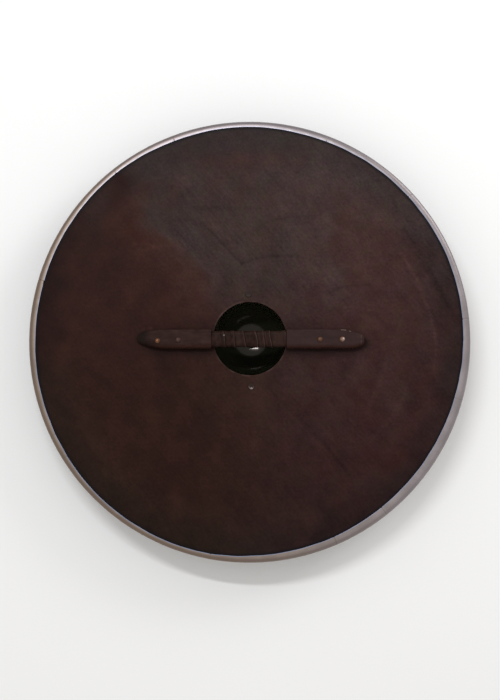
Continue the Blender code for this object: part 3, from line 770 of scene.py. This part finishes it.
def build_rim():
    """Sheet folded over the board's edge: a middle line carried round Z, with half the sheet's
    thickness on each side of it and a half round at each free edge.

    The middle line runs level from the free edge, over a nose whose outline is |a|^n + |b|^n = 1, and
    back. Its lap wavers in width round the shield and narrows at each crimp and at the joint. It is
    pressed in along its own normal by low random waves and by a narrow bell-shaped groove at each
    crimp, and one end sinks a little at the joint.
    """
    half = RIM_SHEET / 2
    top, foot = RIM_HIGH[2] - half, RIM_LOW[2] + half
    nose_start = LIP_RADIUS + half + RIM_FLAT
    leg = np.linspace(LIP_RADIUS + half, nose_start, 3)[:-1]
    out, level = squared_round(37, 2 / RIM_NOSE_POWER)
    nose_r = nose_start + (RIM_RADIUS - half - nose_start) * out
    nose_z = (top + foot) / 2 + (top - foot) / 2 * level
    line_r, line_z, _ = outline((leg, top), (nose_r, nose_z), (leg[::-1], foot))
    step_r, step_z = np.gradient(line_r), np.gradient(line_z)
    length = np.hypot(step_r, step_z)
    normal_r, normal_z = (-step_z / length)[:, None], (step_r / length)[:, None]

    turn = rim_turns()
    waver = lip_line(turn) - LIP_RADIUS
    groove, notch = np.zeros_like(turn), np.zeros_like(turn)
    draw = np.random.default_rng(14)
    for heading in CRIMP_TURNS:
        along = aside(turn, heading) * RIM_RADIUS
        groove += draw.uniform(0.00012, 0.00026) * bell(along, draw.uniform(0.0006, 0.0010))
        notch += draw.uniform(0.0002, 0.0007) * bell(along, draw.uniform(0.0008, 0.0014))
    from_joint = (turn - turn[0]) * RIM_RADIUS
    notch += 0.0011 * bell(from_joint, 0.0060)
    narrow = 1 - (waver + notch) / (RIM_RADIUS - LIP_RADIUS)
    near_lip = smooth(nose_start + 0.006, LIP_RADIUS, line_r)[:, None]
    ripple = 0.00010 * ring_waves(turn, 11, 9, 40) + 0.00006 * ring_waves(turn, 12, 60, 160)
    fine = 0.000025 * ring_waves(turn + line_r[:, None] * 40 + line_z[:, None] * 60, 13, 120, 320)
    sunk = (groove + 0.0004 * np.exp(-from_joint / 0.004)) * smooth(foot, top, line_z)[:, None]
    push = np.minimum(ripple * (0.35 + 0.65 * near_lip) + fine - sunk, 0.00012) - 0.00005

    line_r = RIM_RADIUS - (RIM_RADIUS - line_r[:, None]) * narrow + normal_r * np.minimum(push, 0.0)
    line_z = line_z[:, None] + normal_z * push
    round_turn = np.linspace(0, math.pi, 6)[1:-1]

    def free_edge(row, way):
        """Half round over the sheet's free edge, from its outer to its inner side or back."""
        lift = half * np.cos(round_turn)[::way, None] * normal_z[row, 0]
        return line_r[row] - half * np.sin(round_turn)[::way, None], line_z[row] + lift

    outer = (line_r + normal_r * half, line_z + normal_z * half)
    inner = ((line_r - normal_r * half)[::-1], (line_z - normal_z * half)[::-1])
    radius, height = (np.vstack(part) for part in zip(outer, free_edge(-1, 1), inner, free_edge(0, -1)))
    points = np.stack([radius * np.cos(turn), radius * np.sin(turn), height], -1)
    crimp = np.clip(groove / 0.00022, 0, 1) * smooth(foot, top, height)
    # Less of the nose's painted shade round 335°.
    brighter = bell(aside(turn, 335.0), 0.55)
    values = {"crimp": np.maximum(crimp, 0.4 * bell(from_joint, 0.0012)),
              "nose": smooth(RIM_RADIUS - 0.0095, RIM_RADIUS - 0.0045, radius) * (1 - 0.6 * brighter),
              "from_lip": radius - LIP_RADIUS - waver,
              # Painted highlight on the inner edge, strongest round 112°.
              "edge_highlight": smooth(0.25, 0.95, np.cos(aside(turn, 112.0))),
              # Painted warm reflection round 205°.
              "tan": smooth(-0.5, 0.7, np.cos(aside(turn, 205.0)))}
    values = {key: np.broadcast_to(value, radius.shape).T for key, value in values.items()}
    add_piece("rim", rim_steel(), points.transpose(1, 0, 2), values, ends="flat")


# ---------------------------------------------------------------- boss

def build_boss():
    """Pressed dome with a flat flange: a sheet's outline turned round its own upright axis.

    Outline: flat rest, sphere, bend, flange, rounded edge, and the same back at the sheet's thickness.
    The sphere's radius follows from the height of its middle above the rest and the radius of the
    flat. The hollow is painted lighter towards +Y: painted fill light.
    """
    middle, flange_radius, _, back = round_node("boss")
    dome_z = back - BOSS_SHEET - BOSS_BEND
    outer = math.hypot(dome_z, BOSS_REST_RADIUS)
    inner = outer - BOSS_SHEET
    root = outer + BOSS_BEND
    corner = BOSS_SHEET / 3
    corner_r = flange_radius - corner
    rest = np.array([0.0015, 0.006, 0.0105])
    outer_swing = np.linspace(-math.acos(BOSS_REST_RADIUS / outer), 0, 60)
    inner_swing = np.linspace(0, -math.asin((dome_z - BOSS_SHEET) / inner), 60)
    bend = np.linspace(math.pi, math.pi / 2, 10)
    edge = np.linspace(-math.pi / 2, 0, 4)
    flange = np.linspace(root, corner_r, 7)[1:]
    profile_r, profile_z, _ = outline(
        (rest, 0.0),
        arc(outer, outer_swing, 0.0, dome_z),
        arc(BOSS_BEND, bend[1:], root, dome_z),
        (flange, back - BOSS_SHEET),
        arc(corner, edge[1:], corner_r, back - BOSS_SHEET + corner),
        arc(corner, -edge[::-1], corner_r, back - corner),
        (flange[::-1][1:], back),
        arc(BOSS_BEND + BOSS_SHEET, bend[::-1], root, dome_z),
        arc(inner, inner_swing[1:], 0.0, dome_z),
        (rest[::-1], BOSS_SHEET))
    points = turned(middle, profile_r, profile_z, BOSS_PLACES)
    in_hollow = np.hypot(profile_r, profile_z - dome_z) < inner + BOSS_SHEET / 2
    values = {"painted_fill_light": in_hollow[:, None] * smooth(-0.015, 0.050, points[..., 1] - middle[1])}
    add_piece("boss", black_enamel(), points, values)


# ---------------------------------------------------------------- grip bar and its leather

def box_round(top_points, side_points):
    """Places round a box with rounded corners, anticlockwise seen from +X, from the lower right.

    Each place is a share of the way across (-1 to 1) and up (0 to 1) between the corners' centres,
    and a unit normal, to be multiplied by the corner's radius.
    """
    corners = ((1, 0), (1, 1), (-1, 1), (-1, 0))
    parts = []
    for number, (side, level) in enumerate(corners):
        next_side, next_level = corners[(number + 1) % 4]
        count = side_points if next_side == side else top_points
        share = np.append(np.zeros(8), np.linspace(0, 1, count + 2)[1:-1])
        turn = np.radians(90 * number - 90 + np.append(np.linspace(0, 90, 8), np.full(count, 90)))
        parts.append((side + (next_side - side) * share, level + (next_level - level) * share,
                      np.cos(turn), np.sin(turn)))
    return np.concatenate(parts, 1)


def bar_shape(x):
    """Half widths on the +Y and -Y side, foot and top of the bar at each X, and where it is the grip.

    The -X nose is a half ellipse in plan, carved away by a bell curve on each side, with its top
    sloping down to the tip. The +X nose tapers by a power curve on each side and drops at its end by a
    quarter round. Between the shoulders the bar is narrowed.
    """
    start, end = BAR_LOW[0], BAR_HIGH[0]
    _, width, height = BAR_HIGH - BAR_LOW
    along = np.clip((x - start) / POINTED_NOSE, 0.0, 1.0)
    plan = np.sqrt(1 - (1 - along) ** 2)
    fall = 1 - np.sqrt(1 - np.clip(1 - (end - x) / BLUNT_ROUND, 0.0, 1.0) ** 2)
    low_x, high_x = WRAP_LOW[0] - 0.0003, WRAP_HIGH[0] + 0.0003
    grip = smooth(low_x - 0.0009, low_x, x) * smooth(high_x + 0.0009, high_x, x)
    sides = []
    for length, share, curve, (deep, place, spread) in zip(BLUNT_TAPER, BLUNT_END_SHARE, BLUNT_CURVE,
                                                           NOSE_CUTS):
        way = np.clip(1 - (end - x) / length, 0.0, 1.0)
        carved = deep * bell(x - start - place, spread) * np.sqrt(plan)
        side = np.maximum(width / 2 * plan - carved, 0.3 * width / 2 * plan)
        side = side * (1 - (1 - share) * way ** curve) * (1 - 0.20 * fall)
        sides.append(side * (1 - grip) + GRIP_HALF_WIDTH * grip)
    ramp = np.clip(1 - along / 0.95, 0.0, 1.0)
    soft = 0.15
    slope = ramp ** 2 / (ramp + soft) * (1 + soft)
    top = height - (height - POINTED_TIP_HEIGHT) * slope - (height - BLUNT_TIP_HEIGHT) * fall
    return *sides, GRIP_FOOT * grip, top * (1 - grip) + GRIP_TOP * grip, grip


def build_handle():
    """Carved bar: a rounded box carried along X, with sizes from bar_shape.

    Its upper edges have their own radius on each side, larger along a bell curve at the pointed nose.
    Knife and sanding marks are low random waves, strongest on the long edges, and the wood is dished
    round each rivet. The upper +Y edge is paler in two dashes near the blunt end, and a pale line
    crosses the top near that end.
    """
    start, end = BAR_LOW[0], BAR_HIGH[0]
    nose = start + POINTED_NOSE * (1 - np.cos(np.linspace(0.05, math.pi / 2, 44)))
    shoulders = [edge + np.linspace(-0.0015, 0.0015, 14)
                 for edge in (WRAP_LOW[0] - 0.0006, WRAP_HIGH[0] + 0.0006)]
    even = np.linspace(nose[-1], end - BLUNT_ROUND - 0.0002, 300)
    last = end - BLUNT_ROUND * (1 - np.sin(np.linspace(0, math.pi / 2, 15)))
    x = np.unique(np.round(np.concatenate([nose, even, *shoulders, last]), 6))[:, None]
    across, up, normal_y, normal_z = box_round(19, 7)
    upper, lower, foot, top, grip = bar_shape(x)
    from_tip, from_end = x - start, end - x
    narrower = np.minimum(upper, lower)
    low_radius = np.minimum(0.0008 * (1 - grip) + GRIP_EDGE * grip, 0.45 * narrower)
    edge = sum((radius + extra * bell(from_tip - place, spread)) * (1 + side * across) / 2
               for radius, (extra, place, spread), side in zip(BAR_EDGES, NOSE_BEVELS, (1, -1)))
    widest = np.where(across < 0, 0.78 * lower, 0.6 * narrower)
    top_radius = np.minimum(edge * (1 - grip) + GRIP_EDGE * grip, widest)
    corner = low_radius * (1 - up) + top_radius * up
    wave = 0.00018 * waves(x, across * 0.010 + up * 0.02, 21, 0.012, 0.060)
    edge_wave = 0.00022 * waves(x, 0.0, 22, 0.008, 0.035) * np.abs(normal_y * normal_z) * 2 * up
    trim = np.clip(wave + edge_wave - 0.0003, -0.0012, 0.0) * (1 - grip) * (up > 0)
    width = np.where(across > 0, upper, lower)
    y = BAR_MIDDLE_Y + across * (width - corner) + normal_y * (corner + trim)
    z = foot + low_radius + up * (top - top_radius - foot - low_radius) + normal_z * (corner + trim)
    z = z - dishes(x, y, "handle_rivet", 0.0075) * (up > 0.5) * (normal_z > 0.9)
    points = np.stack(np.broadcast_arrays(x, y, BAR_LOW[2] + z), -1)

    dashes = sum(share * smooth(near - 0.0008, near + 0.0008, from_end)
                 * smooth(far + 0.0008, far - 0.0008, from_end)
                 for near, far, share in ((0.0318, 0.0406, 1.0), (0.0232, 0.0268, 0.75)))
    dashes = dashes * (across > 0) * (up > 0.5) * (normal_y > 0.05)
    end_line = 0.50 * bell(from_end - 0.0064, 0.0011) * (normal_z > 0.5)
    lower_side = smooth(-0.10, -0.80, normal_y) * (across < 0) + (1 - up)
    upper_side = 0.6 * smooth(0.2, 0.9, normal_y) * (across > 0) * smooth(0.05, 0.09, x)
    toward_tip = 1 - 0.8 * smooth(0.008, 0.028, from_tip) - 0.2 * smooth(0.045, 0.060, from_tip)
    # Painted shade on the -Y side of the pointed nose, turned away from the light.
    shaded_under_nose = smooth(-0.05, -0.5, normal_y) * (across < 0) * bell(from_tip - 0.014, 0.018)
    values = {"pale_marks": np.clip(dashes + end_line, 0, 1),
              "low": np.clip(lower_side + upper_side, 0, 1),
              "end": np.maximum(toward_tip, shaded_under_nose),
              "right": smooth(0.0, 0.02, x)}
    add_piece("handle", stained_bar(), points, values)


def build_wrap():
    """Leather strip wound round the grip, as one sleeve on a rounded box.

    Its thickness follows a helix: from the free edge of one turn to the next it is one layer, then
    rises over a bend to two layers, and falls away in a rounded step at the free edge. The edges' X
    at the top of each turn are the places given, and between them the helix is a smooth line.
    """
    start, end = WRAP_LOW[0], WRAP_HIGH[0]
    across, up, normal_y, normal_z = box_round(17, 5)
    core_y, core_z = GRIP_HALF_WIDTH - GRIP_EDGE, (GRIP_TOP - GRIP_FOOT) / 2 - GRIP_EDGE
    middle_z = BAR_LOW[2] + (GRIP_TOP + GRIP_FOOT) / 2

    def sleeve(x, reach):
        """Rings round the grip, this far from the centres of its rounded corners."""
        y = BAR_MIDDLE_Y + across * core_y + normal_y * reach
        z = middle_z + (2 * up - 1) * core_z + normal_z * reach
        return np.stack(np.broadcast_arrays(x, y, z), -1)

    bare = sleeve(start, GRIP_EDGE)[:, 1:]
    steps = np.hypot(*np.diff(bare, axis=0, append=bare[:1]).T)
    around = (np.cumsum(steps) - steps) / steps.sum()
    from_top = np.round(around - around[np.argmin(np.abs(across) - up)], 9)
    phase = (from_top + 0.5) % 1.0 - 0.5
    phase = phase - 0.50 * np.sin(math.tau * phase) / math.tau

    x = np.linspace(start, end, 470)[:, None]
    edges = np.array([start - 0.022, start - 0.004, *WRAP_EDGES_X, end + 0.002, end + 0.016])
    number = np.arange(len(edges)) - 2.0
    girth = 0.075
    wandering = x + 0.0005 * waves(phase * girth, x, 31, 0.012, 0.05)
    turn = np.floor(np.interp(wandering, edges, number) - phase)
    left, right = (np.interp(turn + side + phase, number, edges) for side in (0, 1))
    before_edge, after_edge = right - wandering, wandering - left
    lap = np.minimum(0.0042, 0.42 * (right - left))
    layers = smooth(lap + 0.0024, lap, before_edge) * smooth(0.0, 0.00045, before_edge)
    layers = np.maximum(layers, smooth(0.00030, 0.0, after_edge)) * smooth(start - 0.001, start + 0.0015, x)
    sag = 0.00012 * waves(x, phase * girth, 32, 0.006, 0.03)
    thickness = LEATHER + LEATHER_STEP * layers + np.clip(sag, -0.0003, 0.0002)
    taper = np.clip(np.minimum(x - start, end - x) / 0.0009, 0, 1)
    thickness = np.minimum(thickness, LEATHER + LEATHER_STEP) * (0.35 + 0.65 * np.sqrt(taper))
    outer = sleeve(x, GRIP_EDGE + 0.0003 + thickness)
    inner = sleeve(np.array([[end - 0.0002], [start + 0.0002]]), GRIP_EDGE + 0.0002)

    broken = 0.60 + 0.40 * np.abs(waves(x, phase * girth, 33, 0.004, 0.012))
    share = np.interp(turn + 1, range(6), WRAP_EDGE_SHARES)
    rubbed = bell(before_edge - 0.0004, 0.0007) * broken * share + 0.13 * smooth(0.038, 0.044, x)
    for place, length, amount in ((-0.0170, 0.0050, 0.16), (-0.054, 0.004, 0.08), (0.025, 0.010, 0.10)):
        rubbed = rubbed + amount * bell(x - place, length)
    nothing = np.zeros(inner.shape[:2])
    values = {"edge": np.vstack([np.clip(rubbed, 0, 1), nothing]),
              # Painted shade just past each step down between turns.
              "crease": np.vstack([bell(after_edge - 0.0004, 0.0010), nothing])}
    add_piece("grip_wrap", wound_leather(), np.concatenate([outer, inner]), values,
              ends="joined")


# ---------------------------------------------------------------- rivets and tack

def dome(radius, base, top):
    """Radii and heights of a low dome from its edge to near its top: the part of a sphere that fits.
    Where its top lies below its base, it hangs."""
    sphere = (radius ** 2 + (top - base) ** 2) / (2 * (top - base))
    swing = np.linspace(math.asin(radius / abs(sphere)), 0.03, 18)
    return abs(sphere) * np.sin(swing), top - sphere * (1 - np.cos(swing))


def facets(seed, radius, height, r, turn):
    """A lift, never above 0, that cuts flat hammer facets into a dome of this radius and height."""
    draw = np.random.default_rng(seed)
    count = 7
    headings = draw.uniform(0, math.tau, count)
    leans = draw.uniform(0.05, 0.28, count)
    depths = draw.uniform(0.03, 0.12, count)
    rise = height * (1 - (r / radius) ** 2)
    lift = np.zeros(np.broadcast(r, turn).shape)
    for heading, lean, depth in zip(headings, leans, depths):
        plane = height * (1 - depth) - lean * (r * np.cos(turn - heading) - lean * radius * 0.8)
        lift = np.minimum(lift, plane - rise)
    return np.maximum(lift, -0.3 * height) * (r < radius)


def build_handle_rivet(number, finish, painted_highlight):
    """Copper rivet: hammered dome on the bar, shank, and a flatter tail on the front.

    The metal is bright over a bell-shaped spot at the place given, which is a painted highlight,
    and duller towards the edge.
    """
    node = f"handle_rivet_{number}"
    middle, radius, foot, top = round_node(node)
    base = BAR_HIGH[2] - 0.0004
    r, z, part = outline(np.flip(dome(0.0042, FRONT_Z, foot), 1), (0.0020, (FRONT_Z, base)),
                         dome(radius, base, top))
    points = turned(middle, r, z, RIVET_PLACES)
    r = r[:, None]
    lift = facets(50 + number, radius, top - base, r, ring(RIVET_PLACES))
    points[..., 2] += lift * (part == 2)[:, None]
    from_painted_highlight = np.hypot(points[..., 0] - middle[0] - painted_highlight[0], points[..., 1] - middle[1] - painted_highlight[1])
    # Bright metal on the worn dome, and a painted highlight round the given spot.
    bright_metal = smooth(1.02 * radius, 0.80 * radius, r) * (0.40 + 0.60 * bell(from_painted_highlight, painted_highlight[2]))
    add_piece(node, finish, points, {"bright_metal": bright_metal}, crease=50.0)


def build_boss_rivet(number, finish):
    """Steel rivet: domed head on the flange, shank, and a tail on the back whose middle is dished.

    The tail is bright in two arcs on its -Y side, where the light falls: a strong one on the slope of
    the dish and a weaker one on the ring, which are bell curves over the radius. They are rubbed metal
    and painted highlight.
    """
    node = f"boss_rivet_{number}"
    middle, radius, foot, top = round_node(node)
    head_base, tail_base = BOSS_BACK - BOSS_SHEET, BACK_Z - 0.0004
    tail = (TAIL_RADIUS * TAIL_OUT / TAIL_OUT.max(), tail_base + TAIL_UP * (top - tail_base))
    r, z, part = outline(np.flip(dome(radius, head_base, foot), 1), (0.0024, (head_base, tail_base)), tail)
    points = turned(middle, r, z, RIVET_PLACES)
    on_tail, r, turn = (part == 2)[:, None], r[:, None], ring(RIVET_PLACES)
    points[..., 2] -= on_tail * 0.00010 * (1.6 + ring_waves(turn, 40 + number, 2, 7))
    # Bright metal on the -Y side of the tail: rubbed metal and a painted highlight.
    rubbed = bell(r - 0.0028, 0.0014) * smooth(0.5, 1.1, -np.sin(turn))
    rubbed = rubbed + 0.55 * bell(r - 0.0040, 0.0009) * smooth(-0.5, 0.1, -np.sin(turn))
    bright_metal = np.where(on_tail, rubbed, smooth(radius, 0.5 * radius, r))
    add_piece(node, finish, points, {"bright_metal": bright_metal}, crease=60.0)


def build_tack(finish):
    """Small domed tack: point, shank and head turned round an upright axis."""
    middle, radius, foot, top = round_node("grip_tack")
    base, shank = top - 0.0011, 0.0008
    r, z, _ = outline((0.0003, foot), (shank, (foot + shank, base)), dome(radius, base, top))
    bright_metal = smooth(radius, 0.4 * radius, r)[:, None]
    points = turned(middle, r, z, TACK_PLACES)
    add_piece("grip_tack", finish, points, {"bright_metal": bright_metal}, crease=50.0)


# Bright metal, tarnish, roughness, and the bright spot's place and size; that spot is a painted
# highlight
COPPER_RIVETS = (
    ((0.215, 0.098, 0.055), (0.070, 0.037, 0.023), 0.48, (-0.0003, -0.0012, 0.0036)),
    ((0.088, 0.052, 0.045), (0.060, 0.036, 0.031), 0.54, (-0.0012, 0.0006, 0.0048)),
    ((0.136, 0.068, 0.045), (0.085, 0.045, 0.032), 0.52, (-0.0006, 0.0006, 0.0044)),
    ((0.420, 0.340, 0.310), (0.150, 0.070, 0.045), 0.30, (0.0022, 0.0002, 0.0027)),
)


def build_fixings():
    """The four copper rivets of the bar, the four steel rivets of the boss, and the tack."""
    for number, (bright, tarnish, rough, painted_highlight) in enumerate(COPPER_RIVETS, start=1):
        build_handle_rivet(number, aged_copper(f"copper_{number}", bright, tarnish, rough), painted_highlight)
    stained = rivet_steel("stained_rivet", (0.048, 0.038, 0.033), (0.035, 0.0240, 0.0205), 0.40)
    rubbed = rivet_steel("rubbed_and_highlit_rivet", (0.205, 0.170, 0.158), (0.033, 0.020, 0.016), 0.34)
    for number, finish in enumerate((stained, stained, rubbed, stained), start=1):
        build_boss_rivet(number, finish)
    build_tack(aged_copper("tack_metal", (0.150, 0.120, 0.108), (0.060, 0.045, 0.038), 0.42))


# ---------------------------------------------------------------- floor, light and camera

def seen_from(distance, up_tilt, side_tilt):
    """A place at a distance from the middle of the board, tilted from its axis towards +Y and +X."""
    tilt_y, tilt_x = math.radians(up_tilt), math.radians(side_tilt)
    way = Vector((math.tan(tilt_x), math.tan(tilt_y), 1.0)).normalized()
    return Vector((0.0, 0.0, BACK_Z)) + way * distance


def aimed(name, data, place, target):
    """Add a light or a camera at a place. Its -Z points at the target, its X is level and its Y is
    towards +Y."""
    obj = bpy.data.objects.new(name, data)
    bpy.context.scene.collection.objects.link(obj)
    back = (place - Vector(target)).normalized()
    side = Vector((0.0, 1.0, 0.0)).cross(back).normalized()
    obj.location = place
    obj.rotation_euler = Matrix((side, back.cross(side), back)).transposed().to_euler()
    return obj


def soft_light(name, place, width, depth, power, colour):
    """Add a soft rectangular light at a place, aimed at the middle of the board."""
    light = bpy.data.lights.new(name, "AREA")
    light.shape = "RECTANGLE"
    light.size, light.size_y = width, depth
    light.energy = power
    light.color = colour
    aimed(name, light, place, (0, 0, BACK_Z))


def build_stage():
    """Pale floor under the shield, even light all round, a long soft light above the upper edge, a fill
    light from the upper right, and the camera."""
    size = 6.0
    mesh = bpy.data.meshes.new("floor")
    corners = [(-size, -size, 0), (size, -size, 0), (size, size, 0), (-size, size, 0)]
    mesh.from_pydata(corners, [], [(0, 1, 2, 3)])
    mesh.materials.append(floor_paper())
    floor = bpy.data.objects.new("floor", mesh)
    bpy.context.scene.collection.objects.link(floor)

    world = bpy.data.worlds.new("even_light")
    world.use_nodes = True
    background = world.node_tree.nodes["Background"]
    background.inputs["Color"].default_value = (1.0, 0.985, 0.965, 1.0)
    background.inputs["Strength"].default_value = 0.67
    bpy.context.scene.world = world
    soft_light("key", seen_from(2.6, 26.0, -12.0), 1.10, 0.10, 23.0, (0.93, 0.955, 1.0))
    soft_light("fill", seen_from(3.0, 52.0, 58.0), 1.1, 1.1, 23.5, (1.0, 0.99, 0.99))

    camera = bpy.data.cameras.new("camera")
    camera.lens = 59.88
    eye = aimed("camera", camera, seen_from(2.0, -2.5, 1.2), (0.0019, -0.0160, BACK_Z))
    bpy.context.scene.camera = eye
    bpy.context.scene.view_settings.view_transform = "Standard"


build_board()
build_rim()
build_boss()
build_handle()
build_wrap()
build_fixings()
build_stage()
